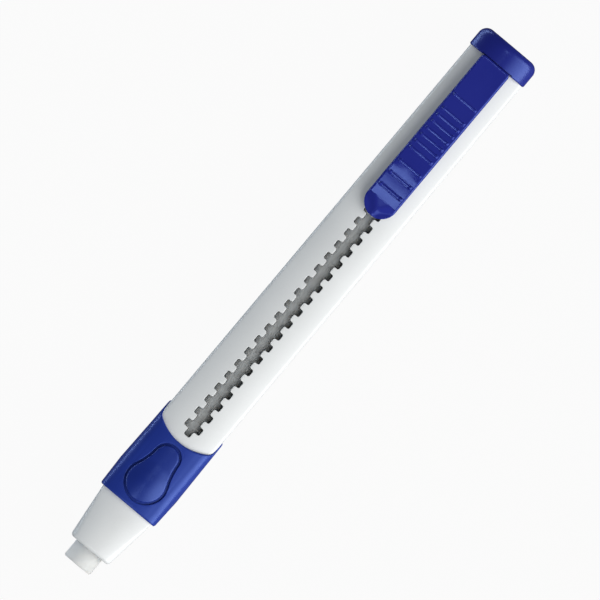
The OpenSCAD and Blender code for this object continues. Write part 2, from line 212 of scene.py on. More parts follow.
def lies_at(part, **place):
    """Whether every corner of an edge or a face has the given x, y or z."""
    return all(near(getattr(v.co, letter), value) for v in part.verts for letter, value in place.items())


def stands(edge):
    """Whether an edge is upright."""
    a, b = edge.verts
    return near(a.co.x, b.co.x) and near(a.co.y, b.co.y)


def bevel(bm, edges, radius, segments):
    """Rounds the given edges off to a radius."""
    bmesh.ops.bevel(bm, geom=edges, offset=radius, offset_type="OFFSET", segments=segments, profile=0.5,
                    affect="EDGES", material=-1, clamp_overlap=False)


def slice_at(bm, places, direction):
    """Cuts the mesh along planes square to a direction, at the given places."""
    for place in places:
        bmesh.ops.bisect_plane(bm, geom=bm.verts[:] + bm.edges[:] + bm.faces[:], dist=1e-5,
                               plane_co=direction * place, plane_no=direction)


ALONG, ACROSS, UP = Vector((1, 0, 0)), Vector((0, 1, 0)), Vector((0, 0, 1))
HAIR = 0.01
print(f"a plate reaches {half_girth:.2f} mm to each side of the crown")

# %% [markdown]
# ## From flat to round
# A Simple Deform modifier bends a plate to one arc, and a Curve modifier twists it along a path. The
# holder's outline has five runs that touch smoothly, so it is simpler to place each point by the function
# above: its distance from the crown gives the place on the outline, and its height moves it outwards. Flat
# strips become facets, so a plate is sliced more finely where the outline turns tightly.

# %% Wrapping a plate
strips = [16, 8, 10, 10, 3]


def strip_lines(shape):
    """Distances from the crown at which a plate is sliced, so that it can follow the outline."""
    lines, start = [], 0.0
    for count, (length, at) in zip(strips, runs(shape)):
        lines += [start + length * i / count for i in range(1, count + 1)]
        start += length
    return sorted([-line for line in lines[:-1]] + [0.0] + lines[:-1])


def share_of(distance):
    """The share of the barrel's outline that lies at a distance round it from the crown."""
    left = abs(distance)
    for run, (length, at) in enumerate(runs(barrel_shape)):
        if left <= length or run == 4:
            return math.copysign(run + min(left / length, 1.0), distance)
        left -= length


def on_barrel(distance, height):
    """The place of a flat point: a distance round the barrel's outline, and a height off it."""
    return around(barrel_shape, share_of(distance), height)


def wrap(bm, place=on_barrel):
    """Wraps a flat plate round the holder and closes its seam down the back."""
    walls = [f for f in bm.faces if all(near(abs(v.co.y), half_girth) for v in f.verts)]
    bmesh.ops.delete(bm, geom=walls, context="FACES")
    for v in bm.verts:
        point = place(v.co.y, v.co.z)
        v.co = (v.co.x, point.x, point.y)
    bmesh.ops.remove_doubles(bm, verts=bm.verts, dist=1e-4)
    bmesh.ops.recalc_face_normals(bm, faces=bm.faces)


print("strips round the barrel:", len(strip_lines(barrel_shape)) + 1)

# %% [markdown]
# ## Finishing a piece
# A finished piece is scaled to metres, shaded smooth except across sharp corners, and hung on the CAD body
# that it rides on, and the CAD nodes that it stands for are hidden. With even=True a Weighted Normal
# modifier shades broad faces as flat and lets the small roundings turn, which is how a polished moulding
# catches the light.

# %% From bmesh to finished piece
def piece(name, bm, body, slot, *nodes, sharp=38, even=False, finish=None):
    """Turns a bmesh in millimetres into a finished piece in metres that rides on a CAD body."""
    bmesh.ops.scale(bm, vec=(MM, MM, MM), verts=bm.verts)
    loose = sum(1 for e in bm.edges if not e.is_manifold)
    made = link(name, bm)
    made.data.shade_smooth()
    made.data.set_sharp_from_angle(angle=math.radians(sharp))
    if even:
        weigh = made.modifiers.new("even_shading", "WEIGHTED_NORMAL")
        weigh.keep_sharp, weigh.weight = True, 80
    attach(made, body)
    if nodes:
        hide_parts(*nodes)
    made.data.materials.append(finish or finish_of[slot])
    size = made.dimensions / MM
    print(f"{name}: {len(made.data.polygons)} faces, {loose} open edges, "
          f"{size.x:.2f} x {size.y:.2f} x {size.z:.2f} mm")
    return made


# %% [markdown]
# ## Moulded plastic
# All the hard parts are injection moulded. Polished plastic isn't perfectly even: its colour drifts by a
# percent or two where the melt flowed, its polish varies, and its surface has a very slight ripple. One
# function builds that from noise on the object's own coordinates, so the pattern stays with the piece. The
# colour runs between two close shades, the roughness between two limits, and two bumps give the ripple and
# a finer grain. A scale is how many features there are in a metre.

# %% The plastic finishes
flow_scale, wear_scale, ripple_scale = 90, 420, 260
flow_low, flow_high, wear_low, wear_high = 0.35, 0.65, 0.3, 0.7
ripple_height, grain_height = 0.05 * MM, 0.02 * MM
light_depth, light_reach = 5 * MM, (1, 0.95, 0.9)


def new_nodes(tree, *kinds):
    """New shader nodes of the given kinds."""
    return [tree.nodes.new("ShaderNode" + kind) for kind in kinds]


def noise(tree, place, scale, detail, x, y):
    """A noise texture on object coordinates, drawn at (x, y) in the node editor."""
    texture = tree.nodes.new("ShaderNodeTexNoise")
    texture.location = (x, y)
    texture.inputs["Scale"].default_value = scale
    texture.inputs["Detail"].default_value = detail
    tree.links.new(place.outputs["Object"], texture.inputs["Vector"])
    return texture.outputs["Fac"]


def ramp(tree, value, dark, light, low, high, x, y):
    """A colour ramp from dark at low to light at high, drawn at (x, y) in the node editor."""
    colours = tree.nodes.new("ShaderNodeValToRGB")
    colours.location = (x, y)
    colours.color_ramp.elements[0].position, colours.color_ramp.elements[1].position = low, high
    colours.color_ramp.elements[0].color = (*dark, 1)
    colours.color_ramp.elements[1].color = (*light, 1)
    tree.links.new(value, colours.inputs["Fac"])
    return colours.outputs["Color"]


def plastic(name, dark, light, polish, ripple, grain_size=0.35, grain=0.0,
            tint=(1, 1, 1), shine=0.5, depth=0.0):
    """A moulded plastic: shades dark to light, roughness limits in polish, ripple and grain as bumps, a tint
    and strength for its shine, and in depth the share of light that spreads inside it."""
    material = bpy.data.materials.new(name)
    material.use_nodes = True
    tree = material.node_tree
    shader = tree.nodes["Principled BSDF"]
    place = tree.nodes.new("ShaderNodeTexCoord")
    place.location = (-1100, 0)
    flow = noise(tree, place, flow_scale, 3, -850, 300)
    shades = ramp(tree, flow, dark, light, flow_low, flow_high, -600, 300)
    tree.links.new(shades, shader.inputs["Base Color"])
    wear = noise(tree, place, wear_scale, 5, -850, 0)
    spread = tree.nodes.new("ShaderNodeMapRange")
    spread.location = (-600, 0)
    spread.inputs["From Min"].default_value, spread.inputs["From Max"].default_value = wear_low, wear_high
    spread.inputs["To Min"].default_value, spread.inputs["To Max"].default_value = polish
    tree.links.new(wear, spread.inputs["Value"])
    tree.links.new(spread.outputs["Result"], shader.inputs["Roughness"])
    broad = tree.nodes.new("ShaderNodeBump")
    broad.location = (-400, -300)
    broad.inputs["Strength"].default_value = ripple
    broad.inputs["Distance"].default_value = ripple_height
    tree.links.new(noise(tree, place, ripple_scale, 2, -850, -300), broad.inputs["Height"])
    fine = tree.nodes.new("ShaderNodeBump")
    fine.location = (-200, -300)
    fine.inputs["Strength"].default_value = grain
    fine.inputs["Distance"].default_value = grain_height
    tree.links.new(noise(tree, place, 1 / (grain_size * MM), 2, -850, -550), fine.inputs["Height"])
    tree.links.new(broad.outputs["Normal"], fine.inputs["Normal"])
    tree.links.new(fine.outputs["Normal"], shader.inputs["Normal"])
    shader.inputs["Specular Tint"].default_value = (*tint, 1)
    shader.inputs["Specular IOR Level"].default_value = shine
    shader.inputs["IOR"].default_value = 1.5
    shader.inputs["Subsurface Weight"].default_value = depth
    shader.inputs["Subsurface Radius"].default_value = light_reach
    shader.inputs["Subsurface Scale"].default_value = light_depth
    return material


# %% [markdown]
# ## The finishes of this holder
# The shell is a bright white, the grip a satin blue and the slider a deeper, glossier blue. The shine on the
# blue pieces is bluish in the photograph, so it gets a tint. A finish could be copied and changed for each
# piece by hand, but one call with its own numbers shows at a glance how two of them differ. The finger pad
# and the cap come from other moulds than the grip and the slider, so they have finishes of their own. The
# barrel's faces inside the slot and the tube get a near-black finish, which is painted shade.

# %% The shades
blue_tint = (0.3, 0.45, 1.0)
finish_of = {
    "white_shell": plastic("white_polystyrene", (0.77, 0.795, 0.81), (0.795, 0.82, 0.835),
                           (0.28, 0.34), 0.03),
    "blue_grip": plastic("blue_satin", (0.014, 0.034, 0.27), (0.017, 0.04, 0.30), (0.32, 0.38), 0.05,
                         grain_size=0.12, grain=0.04, tint=blue_tint, shine=0.9),
    "blue_gloss": plastic("blue_gloss", (0.0175, 0.024, 0.25), (0.0205, 0.028, 0.275), (0.12, 0.15), 0.02,
                          tint=blue_tint, shine=0.7),
    "inner_plastic": plastic("grey_acetal", (0.175, 0.19, 0.195), (0.21, 0.225, 0.23), (0.4, 0.55), 0.08),
    "eraser": plastic("white_vinyl", (0.78, 0.80, 0.805), (0.83, 0.85, 0.855), (0.6, 0.8), 0.2,
                      grain_size=0.25, grain=0.5, depth=1.0),
}
pad_finish = plastic("blue_polished", (0.009, 0.023, 0.21), (0.011, 0.028, 0.24), (0.3, 0.36), 0.05,
                     tint=blue_tint, shine=1.0)
cap_finish = plastic("blue_capped", (0.0155, 0.0215, 0.225), (0.018, 0.025, 0.25), (0.22, 0.26), 0.02,
                     tint=blue_tint, shine=0.7)
# Painted shade: a near-black finish for the barrel's faces inside the slot and the tube, where shade falls.
painted_shade_inside = plastic("painted_shade_polystyrene", (0.05, 0.053, 0.056), (0.085, 0.09, 0.095), (0.5, 0.6), 0.05)
print("finishes:", sorted(finish_of))

# %% [markdown]
# ## Painted shade on the stick
# The stick is painted darker where it lies inside the tube and on the side that faces the key lamp, both as
# painted shade. It could be painted on the mesh, but a pattern on object coordinates needs no painting and
# stays with the stick when it slides. So the stick's colour is multiplied by two ramps, one along it and one
# across it, and a coarse noise breaks up their borders.

# %% The stick's painted shade
# Painted shade along the stick: darker where it lies inside the tube, with a noisy border.
shade_noise_scale, shade_border = 500, 1.5
unshaded_end, shaded_start, tube_shade = -58, -42, (0.86, 0.87, 0.87)
# Painted shade across the stick: darker on the side towards the key lamp.
unshaded_side, shaded_side, key_side_shade = 3.2, -3.8, (0.6, 0.6, 0.59)


def add_painted_shade(material, letter, unshaded, fully_shaded, shade):
    """Darkens a finish with painted shade: a ramp along X, Y or Z from white at one place to a shade at
    another, both in mm.
    """
    tree = material.node_tree
    shader = tree.nodes["Principled BSDF"]
    place = next(n for n in tree.nodes if n.type == "TEX_COORD")
    split, edge, spread, shade_mix = new_nodes(tree, "SeparateXYZ", "Math", "MapRange", "Mix")
    tree.links.new(place.outputs["Object"], split.inputs[0])
    edge.operation, edge.inputs[1].default_value = "MULTIPLY_ADD", shade_border * MM
    tree.links.new(noise(tree, place, shade_noise_scale, 4, -850, 550), edge.inputs[0])
    tree.links.new(split.outputs[letter], edge.inputs[2])
    spread.inputs["From Min"].default_value, spread.inputs["From Max"].default_value = unshaded * MM, fully_shaded * MM
    tree.links.new(edge.outputs["Value"], spread.inputs["Value"])
    shade_mix.data_type, shade_mix.blend_type = "RGBA", "MULTIPLY"
    shade_mix.inputs["Factor"].default_value = 1
    grey = ramp(tree, spread.outputs["Result"], (1, 1, 1), shade, 0.0, 1.0, -600, 550)
    tree.links.new(shader.inputs["Base Color"].links[0].from_socket, shade_mix.inputs["A"])
    tree.links.new(grey, shade_mix.inputs["B"])
    tree.links.new(shade_mix.outputs["Result"], shader.inputs["Base Color"])


# Painted shade on the stick inside the tube.
add_painted_shade(finish_of["eraser"], "X", unshaded_end, shaded_start, tube_shade)
# Painted shade on the stick's side towards the key lamp.
add_painted_shade(finish_of["eraser"], "Y", unshaded_side, shaded_side, key_side_shade)
print(f"the stick is clean from its tip to {-unshaded_end} mm before the middle of the holder")

# %% [markdown]
# ## The barrel and its slot
# The barrel is the white tube that everything else is pressed into. Its slot is a row of pockets joined by
# a narrow channel, with a shorter lead at the front, and sits a little to one side. A moulder makes it with
# one steel blade. Here the knife is a box for the lead, one for the channel and one for each pocket, which
# keeps the places exact. All upright corners are rounded together, and then the whole rim, as a polished
# mould leaves them. Faces more than 0.3 mm deep get a near-black finish as painted shade, so the slot looks
# deep.

# %% The barrel
wall, unshaded_rim, corner_r, rim_r = 1.05, 0.3, 0.34, 0.05
pitch, pockets = 3.0, 21
pocket_length, pocket_half, channel_half = 1.55, 1.94, 0.92
lead_half, lead_length = 0.72, 2.24
first_pocket, slot_shift = -30.5, -0.15


def slot_knife():
    """The solid that cuts the slot: the lead, the channel and every pocket."""
    deep = 2 * wall
    boxes = [(first_pocket - lead_length, first_pocket, lead_half),
             (first_pocket, barrel_high.x + wall, channel_half)]
    for i in range(pockets):
        middle = first_pocket + i * pitch
        boxes.append((middle - pocket_length / 2, middle + pocket_length / 2, pocket_half))
    knife = bmesh.new()
    for x0, x1, half in boxes:
        made = bmesh.ops.create_cube(knife, size=1)["verts"]
        bmesh.ops.scale(knife, vec=(x1 - x0, 2 * half, 2 * deep), verts=made)
        bmesh.ops.translate(knife, vec=((x0 + x1) / 2, slot_shift, 0), verts=made)
    return knife


def in_slot(edge):
    """Whether an edge belongs to the slot, and not to the barrel's ends or sides."""
    return all(abs(v.co.y - slot_shift) < pocket_half + HAIR and v.co.x < barrel_high.x - HAIR
               for v in edge.verts)


barrel_bm = carve(plate(barrel_low.x, barrel_high.x, half_girth, -wall, 0), slot_knife())
corners = [e for e in barrel_bm.edges if in_slot(e) and stands(e)]
bevel(barrel_bm, corners, corner_r, 5)
bevel(barrel_bm, [e for e in barrel_bm.edges if in_slot(e) and lies_at(e, z=0)], rim_r, 3)
# Painted shade: faces deeper than the rim's depth below the surface get the second, near-black finish.
slice_at(barrel_bm, [-unshaded_rim], UP)
for f in barrel_bm.faces:
    f.material_index = int(all(v.co.z < HAIR - unshaded_rim for v in f.verts))
slice_at(barrel_bm, strip_lines(barrel_shape), ACROSS)
wrap(barrel_bm)
print(f"the slot has {len(corners)} rounded corners")
tube = piece("barrel_tube", barrel_bm, "holder", "white_shell", "barrel", even=True)
# The near-black finish is painted shade inside the slot and the tube.
tube.data.materials.append(painted_shade_inside)

# %% [markdown]
# ## Lofted pieces
# The nose runs from the barrel's outline to a smaller, rounder one and back through a round bore, and the
# cap has rounded ends. A plate can't be wrapped into such forms, and a cage under a Subdivision Surface
# would blur their edges. So both are lofts: a closed ring of points is extruded again and again, and after
# each step the new ring is set onto its outline. Each point keeps its share of the way round in a layer of
# the mesh, so it knows its place on any outline.

# %% Rings
ring_strips = [14, 8, 6, 10, 4]
inside = -wall - 0.05


def new_ring(bm):
    """A closed ring of points, each with its share of the way round the outline."""
    half = [run + i / count for run, count in enumerate(ring_strips) for i in range(count)] + [5.0]
    shares = half + [-share for share in half[-2:0:-1]]
    layer = bm.verts.layers.float.new("share")
    ring = bmesh.ops.create_circle(bm, segments=len(shares), radius=1)["verts"]
    for v, share in zip(ring, shares):
        v[layer] = share
    return bm.edges[:]


def set_ring(bm, edges, place):
    """Moves a ring's points to place(share), which gives x, y and z."""
    layer = bm.verts.layers.float["share"]
    for v in {v for e in edges for v in e.verts}:
        v.co = place(v[layer])


def next_ring(bm, edges, place):
    """Extrudes a ring and sets the new one in place."""
    made = bmesh.ops.extrude_edge_only(bm, edges=edges)["geom"]
    fresh = [g for g in made if isinstance(g, bmesh.types.BMEdge) and all(v in made for v in g.verts)]
    set_ring(bm, fresh, place)
    return fresh


def on(shape, x, off=0.0):
    """A place on an outline that stands at x."""
    def place(share):
        point = around(shape, share, off)
        return Vector((x, point.x, point.y))
    return place


def on_circle(x, radius):
    """A place on a circle round the eraser's axis, in line with the same place on the barrel."""
    def place(share):
        spoke = around(barrel_shape, share, 0) - Vector((0, axis))
        point = Vector((0, axis)) + spoke.normalized() * radius
        return Vector((x, point.x, point.y))
    return place


def rounding(radius, steps):
    """Steps round a quarter circle, as how far along and how far in from the full size."""
    return [(radius * (1 - math.cos(a)), radius * (1 - math.sin(a)))
            for a in (math.pi / 2 * i / steps for i in range(steps + 1))]


print("points on a ring:", 2 * sum(ring_strips))

# %% [markdown]
# ## The nose
# The nose guides the eraser. It is a tapering mouth, nearly round at its end, with a flange that the grip's
# lip holds and a spigot inside the barrel. It could be turned, but only its bore is round. The loft starts
# inside the barrel, comes out through the grip, rounds the end and goes back in through the bore, so it is
# one closed skin with a real hole for the eraser.

# %% The nose
nose_step, nose_end_r, bore_edge_r, flange_thick = 0.4, 0.8, 0.15, 0.8
nose_radius = nose_high.z - axis
bore = eraser_high.y + 0.09
end_shape = {
    "half": nose_radius, "top": axis + nose_radius, "bottom": axis - nose_radius,
    "dome": 12.0, "edge": 1.7, "back": 3.4, "flat": 0.6, "least": 0.3,
}
nose_bm = bmesh.new()
edges = first = new_ring(nose_bm)
set_ring(nose_bm, edges, on(barrel_shape, nose_high.x, inside))
flange_front = barrel_low.x - flange_thick
for place in [on(barrel_shape, barrel_low.x, inside), on(barrel_shape, barrel_low.x),
              on(barrel_shape, flange_front), on(barrel_shape, flange_front, -nose_step),
              on(barrel_shape, sleeve_low.x, -nose_step)]:
    edges = next_ring(nose_bm, edges, place)
for along, inward in reversed(rounding(nose_end_r, 6)):
    edges = next_ring(nose_bm, edges, on(end_shape, nose_low.x + along, -inward))
for along, inward in rounding(bore_edge_r, 3):
    edges = next_ring(nose_bm, edges, on_circle(nose_low.x + along, bore + inward))
edges = next_ring(nose_bm, edges, on_circle(nose_high.x, bore))
bmesh.ops.bridge_loops(nose_bm, edges=edges + first)
bmesh.ops.recalc_face_normals(nose_bm, faces=nose_bm.faces)
piece("nose_mouth", nose_bm, "holder", "white_shell", "nose_cone")

# %% [markdown]
# ## The pear
# The finger pad and the recess that it sits in share one outline: a big circle under the fingertip, a small
# one behind it, and a hollow waist on each side that touches both. It could be a Bezier curve, but then the
# groove between pad and recess would vary. Four arcs can be moved inwards exactly, so the groove stays
# even.

# %% The pad's outline
pad_inset, pad_big, pad_small, pad_span, pad_waist = 1.24, 4.45, 2.9, 6.14, 14.0
big_centre = Vector((sleeve_low.x + pad_inset + pad_big, 0))
small_centre = big_centre + Vector((pad_span, 0))


def pear(inset, low):
    """A face in the shape of the pad, moved inwards by inset, on an unrolled plate at height low."""
    to_big, to_small = pad_big + pad_waist, pad_small + pad_waist
    waist_x = (to_big ** 2 - to_small ** 2 + pad_span ** 2) / (2 * pad_span)
    waist_y = math.sqrt(to_big ** 2 - waist_x ** 2)
    big_a, small_a = math.atan2(waist_y, waist_x), math.atan2(waist_y, waist_x - pad_span)
    sides = [(big_centre, pad_big - inset, big_a, 2 * math.pi - big_a, 40),
             (big_centre + Vector((waist_x, -waist_y)), pad_waist + inset,
              math.pi - big_a, math.pi - small_a, 10),
             (small_centre, pad_small - inset, -small_a, small_a, 28),
             (big_centre + Vector((waist_x, waist_y)), pad_waist + inset,
              small_a - math.pi, big_a - math.pi, 10)]
    bm = bmesh.new()
    unroll = barrel_shape["dome"] + grip_proud
    for centre, radius, start, end, count in sides:
        length, at = arc(centre, radius, start, end)
        for i in range(count):
            point = at(i / count)
            bm.verts.new((point.x, barrel_shape["dome"] * math.asin(point.y / unroll), low))
    bmesh.ops.contextual_create(bm, geom=bm.verts[:])
    return bm


def raise_face(bm, height):
    """Gives a flat face a thickness upwards."""
    made = bmesh.ops.extrude_face_region(bm, geom=bm.faces[:])["geom"]
    top = [g for g in made if isinstance(g, bmesh.types.BMVert)]
    bmesh.ops.translate(bm, vec=(0, 0, height), verts=top)
    bmesh.ops.recalc_face_normals(bm, faces=bm.faces)


print(f"the pear is {pad_big + pad_span + pad_small:.2f} mm long and {2 * pad_big:.2f} mm wide")

# %% [markdown]
# ## The grip's form
# The blue sleeve covers the joint of barrel and nose. It stands a little proud of the barrel, and its front
# edges are softer. Towards the nose it thins. Its rear edge sweeps back along the sides into two horns that
# thin out to blades. These forms are set by functions of the place, because they all vary smoothly along or
# round the sleeve, and a bevel or a loft would hold only one of them.

# %% The grip's places
front_proud, swell_length = 0.36, 6.3
scallop_reach, scallop_fall, scallop_turn = 5.4, 2.2, 1.75
fall_power, turn_power = 1.1, 6
horn_taper, horn_tip = 3.2, 0.24
grip_end = sleeve_high.x
crown_end = grip_end - scallop_reach
soft_edge = 2.8
soft_centre = edge_of(sleeve_high.y, sleeve_high.z, barrel_shape["dome"] + grip_proud, soft_edge)


def on_grip(distance, height):
    """The place of a flat point of the sleeve, whose front edges are softer than the barrel's."""
    share = share_of(distance)
    inner, outer = around(barrel_shape, share), around(barrel_shape, share, grip_proud)
    side = Vector((abs(outer.x), outer.y)) - soft_centre
    if side.x > 0 and side.y > 0 and side.length > soft_edge:
        pressed = soft_centre + side.normalized() * soft_edge
        outer = Vector((math.copysign(pressed.x, outer.x), pressed.y))
    if height < 0:
        return around(barrel_shape, share, height)
    return inner.lerp(outer, height / grip_proud)


def swept_back(distance):
    """How far the rear edge sweeps back at a distance round from the crown."""
    drop = crown - around(barrel_shape, share_of(distance)).y
    fall, turn = (drop / scallop_fall) ** fall_power, (drop / scallop_turn) ** turn_power
    return scallop_reach * (1 - math.exp(-fall - turn))


def thickness_share(x):
    """The sleeve's thickness at x, as a share of its full thickness: thin at the nose and at the horns."""
    swell = min((x - sleeve_low.x) / swell_length, 1)
    thin = min((grip_end - x) / horn_taper, 1) * (1 - horn_tip / grip_proud) + horn_tip / grip_proud
    return min(thin, (front_proud + (grip_proud - front_proud) * swell) / grip_proud)


horn_length, crown_length = grip_end - sleeve_low.x, crown_end - sleeve_low.x
print(f"the grip is {horn_length:.2f} mm long at its horns and {crown_length:.2f} mm at the crown")

# %% [markdown]
# ## The grip
# The sleeve is a second flat plate wrapped over the barrel. While it is flat it gets a lip that closes over
# the nose's flange, a pear-shaped recess for the finger pad, and its roundings, because a bevel is cleanest
# on flat faces. Then its rear edge is swept back, its thickness is set, and it is wrapped.

# %% The grip sleeve
lip, groove_deep, groove_wide = 0.5, min(0.56, grip_proud - 0.02), 0.46
front_round, rear_round, groove_round = 0.6, 0.4, 0.1
rear_zone = crown_end - 0.5

grip_bm = plate(sleeve_low.x, crown_end, half_girth, 0, grip_proud)
slice_at(grip_bm, [sleeve_low.x + lip], ALONG)
under = [f for f in grip_bm.faces
         if lies_at(f, z=0) and all(v.co.x < sleeve_low.x + lip + HAIR for v in f.verts)]
made = bmesh.ops.extrude_face_region(grip_bm, geom=under)["geom"]
bmesh.ops.delete(grip_bm, geom=under, context="FACES")
lip_verts = [g for g in made if isinstance(g, bmesh.types.BMVert)]
bmesh.ops.translate(grip_bm, vec=(0, 0, -nose_step), verts=lip_verts)
recess = pear(0, grip_proud - groove_deep)
raise_face(recess, 2 * groove_deep)
grip_bm = carve(grip_bm, recess)

bevel(grip_bm, [e for e in grip_bm.edges if lies_at(e, x=sleeve_low.x, z=grip_proud)], front_round, 7)
bevel(grip_bm, [e for e in grip_bm.edges if lies_at(e, x=crown_end, z=grip_proud)], rear_round, 5)
groove_edges = [e for e in grip_bm.edges if lies_at(e, z=grip_proud) and e.calc_face_angle(0) > 1.0
                and all(abs(v.co.y) < pad_big + 0.2 for v in e.verts) and not lies_at(e, x=crown_end)]
bevel(grip_bm, groove_edges, groove_round, 3)
slice_at(grip_bm, strip_lines(barrel_shape), ACROSS)
slice_at(grip_bm, [sleeve_low.x + swell_length * i / 4 for i in range(1, 5)], ALONG)
for v in grip_bm.verts:
    if v.co.x > rear_zone:
        v.co.x += swept_back(v.co.y)
    if v.co.z > 0:
        v.co.z *= thickness_share(v.co.x)
wrap(grip_bm, on_grip)
piece("grip_cover", grip_bm, "holder", "blue_grip", "grip_sleeve", even=True)

# %% [markdown]
# ## The finger pad
# The pad is a separate pear-shaped piece that sits in the recess, with a narrow groove round it. Its rim is
# rounded, and its top is crowned under the fingertip. Sculpting could raise the crown, but a function keeps
# it even. So the pad is sliced into small squares while flat, and each point is raised before it is wrapped
# onto the grip. The raise fades out over the rounding, or the rim would kink.

# %% The finger pad
pad_proud, pad_round, pad_crown, small_crown = 0.06, 0.26, 0.8, 0.25
small_reach, across_step, along_step = pad_small + 1, 0.3, 0.35
pad_top = grip_proud + pad_proud


def dome_height(spot, centre, reach):
    """The height at a spot of a smooth dome that is 1 high and fades out at its reach from a centre."""
    return max(0.0, 1 - ((spot - centre).length / reach) ** 2) ** 1.5


def pad_height(x, y):
    """How far the pad's top rises above its rim: a high dome in front and a low one behind."""
    spot = Vector((x, y))
    big, small = dome_height(spot, big_centre, pad_big), dome_height(spot, small_centre, small_reach)
    return pad_crown * big + small_crown * small


pad_bm = pear(groove_wide, grip_proud - groove_deep)
raise_face(pad_bm, groove_deep + pad_proud)
bevel(pad_bm, [e for e in pad_bm.edges if lies_at(e, z=pad_top)], pad_round, 5)
slice_at(pad_bm, [-pad_big + across_step * i for i in range(1, 30)], ACROSS)
slice_at(pad_bm, [sleeve_low.x + pad_inset + along_step * i for i in range(1, 40)], ALONG)
for v in pad_bm.verts:
    raised = max(0.0, (v.co.z - pad_top + pad_round) / pad_round)
    v.co.z += raised * pad_height(v.co.x, v.co.y)
    point = on_barrel(v.co.y, v.co.z)
    v.co = (v.co.x, point.x, point.y)
piece("finger_pad", pad_bm, "holder", "blue_grip", "grip_pad", even=True, finish=pad_finish)

# %% [markdown]
# ## The end cap
# A solid cap pressed into the barrel's end. A bevel on a block would round its end by one radius all round,
# but the real edge is rounder at the two sides than over the crown. So it is a loft, which starts with its
# plug inside the barrel, steps out to the full size, and ends in rings that shrink faster sideways than
# they fall. A shallow notch in its front face clears the slider's rear end.

# %% The end cap
cap_front_r, cap_side_r, cap_fall = 0.3, 1.9, 1.06
notch_deep, notch_gap, notch_r = 0.28, 0.15, 0.15
plate_half, plate_thick = slider_high.y, 1.0
plate_under = plate_top - plate_thick
cap_x = barrel_high.x
cap_bm = bmesh.new()
edges = new_ring(cap_bm)
set_ring(cap_bm, edges, on(barrel_shape, cap_low.x, inside))
bmesh.ops.contextual_create(cap_bm, geom=edges)
edges = next_ring(cap_bm, edges, on(barrel_shape, cap_x, inside))
for along, inward in rounding(cap_front_r, 3):
    edges = next_ring(cap_bm, edges, on(cap_shape, cap_x + along, -inward))
for along, inward in reversed(rounding(cap_side_r, 14)):
    over = inward * cap_fall / cap_side_r
    edges = next_ring(cap_bm, edges, on(dict(cap_shape, half=cap_shape["half"] + over - inward),
                                        cap_high.x - along, -over))
bmesh.ops.contextual_create(cap_bm, geom=edges)
bmesh.ops.recalc_face_normals(cap_bm, faces=cap_bm.faces)

notch = plate(cap_x - 1, cap_x + notch_deep, plate_half + notch_gap, plate_under - 0.3, plate_top + 1)
cap_bm = carve(cap_bm, notch)
notch_edges = [e for e in cap_bm.edges if e.calc_face_angle(0) > 1 and lies_at(e, x=cap_x + notch_deep)
               and all(v.co.z > plate_under for v in e.verts)]
bevel(cap_bm, notch_edges, notch_r, 3)
piece("end_plug", cap_bm, "holder", "blue_gloss", "end_cap", even=True, finish=cap_finish)

# %% [markdown]
# ## The slider's top
# The thumb slider is a thin plate with a sloping, faceted nose, a shallow dish for the thumb and raised
# ribs with a dot at each end. Each rib could be a half cylinder joined to the plate, but a moulded rib
# grows out of the surface without a seam. So the plate's thickness is a sum of functions of the place. The
# dish is given by its slopes at distances behind the crest, because the slope is what decides how bright a
# glossy face looks. The first two ribs are narrower, and a groove on each side of them makes a dark double
# line.

# %% The slider's thickness
nose_of_plate = slider_low.x
slope_length, tip_thick, least_thick = 3.75, 0.28, 0.16
crest = nose_of_plate + slope_length
facet_fall, facet_reach, facet_slant = 0.3, 2.3, 0.86
side_fall, fall_start, fall_grow, ease_start, ease_length, ease_share = 0.13, 10.5, 2.5, 14, 7, 0.75
dish_slopes = [(0, -6.6), (2.25, -4.2), (4.95, -2.6), (5.35, 7.8), (8.05, 5.6), (8.75, 0)]

rib_half, rib_radius, rib_tall, dot_radius, dot_tall, rib_reach = 2.45, 0.34, 0.2, 0.5, 0.24, 0.4
narrow_radius, narrow_tall = 0.24, 0.16
groove_out, groove_radius, groove_share = 0.36, 0.13, 0.8
dish_ribs = [nose_of_plate + 6.02 + 2.92 * i for i in range(3)]
fine_ribs = [nose_of_plate + 15.17 + 1.63 * i for i in range(7)] + [nose_of_plate + 28.39]
narrow_ribs = dish_ribs[:2]


def within(value):
    """The value, kept between 0 and 1."""
    return min(max(value, 0.0), 1.0)


def dish_depth(along):
    """How deep the thumb dish is at a distance behind the crest: the sum of its slopes up to there."""
    depth = 0.0
    for (x0, slope0), (x1, slope1) in zip(dish_slopes, dish_slopes[1:]):
        run = min(max(along - x0, 0.0), x1 - x0)
        end = slope0 + (slope1 - slope0) * run / (x1 - x0)
        depth -= run * math.tan(math.radians((slope0 + end) / 2))
    return depth


def bump(distance, radius, tall):
    """The height at a distance from the middle of a round bead that stands tall out of a flat."""
    sunk = radius - tall
    return max(0.0, math.sqrt(max(0.0, radius ** 2 - distance ** 2)) - sunk)


def plate_thickness(x, y):
    """The plate's thickness without its ribs."""
    if x < crest:
        slope = plate_thick - (plate_thick - tip_thick) * (crest - x) / slope_length
        facet = abs(y) - max(0.0, facet_slant * (x - crest + facet_reach))
        return max(slope - facet_fall * max(facet, 0.0), least_thick)
    behind = x - nose_of_plate
    eased = 1 - ease_share * within((behind - ease_start) / ease_length)
    fall = side_fall * within((behind - fall_start) / fall_grow) * eased
    thick = plate_thick - max(0.0, dish_depth(x - crest)) - fall * (y / plate_half) ** 2
    for rib in narrow_ribs:
        if abs(y) < rib_half + 0.1:
            thick -= groove_share * bump(abs(x - rib) - groove_out, groove_radius, groove_radius)
    return thick


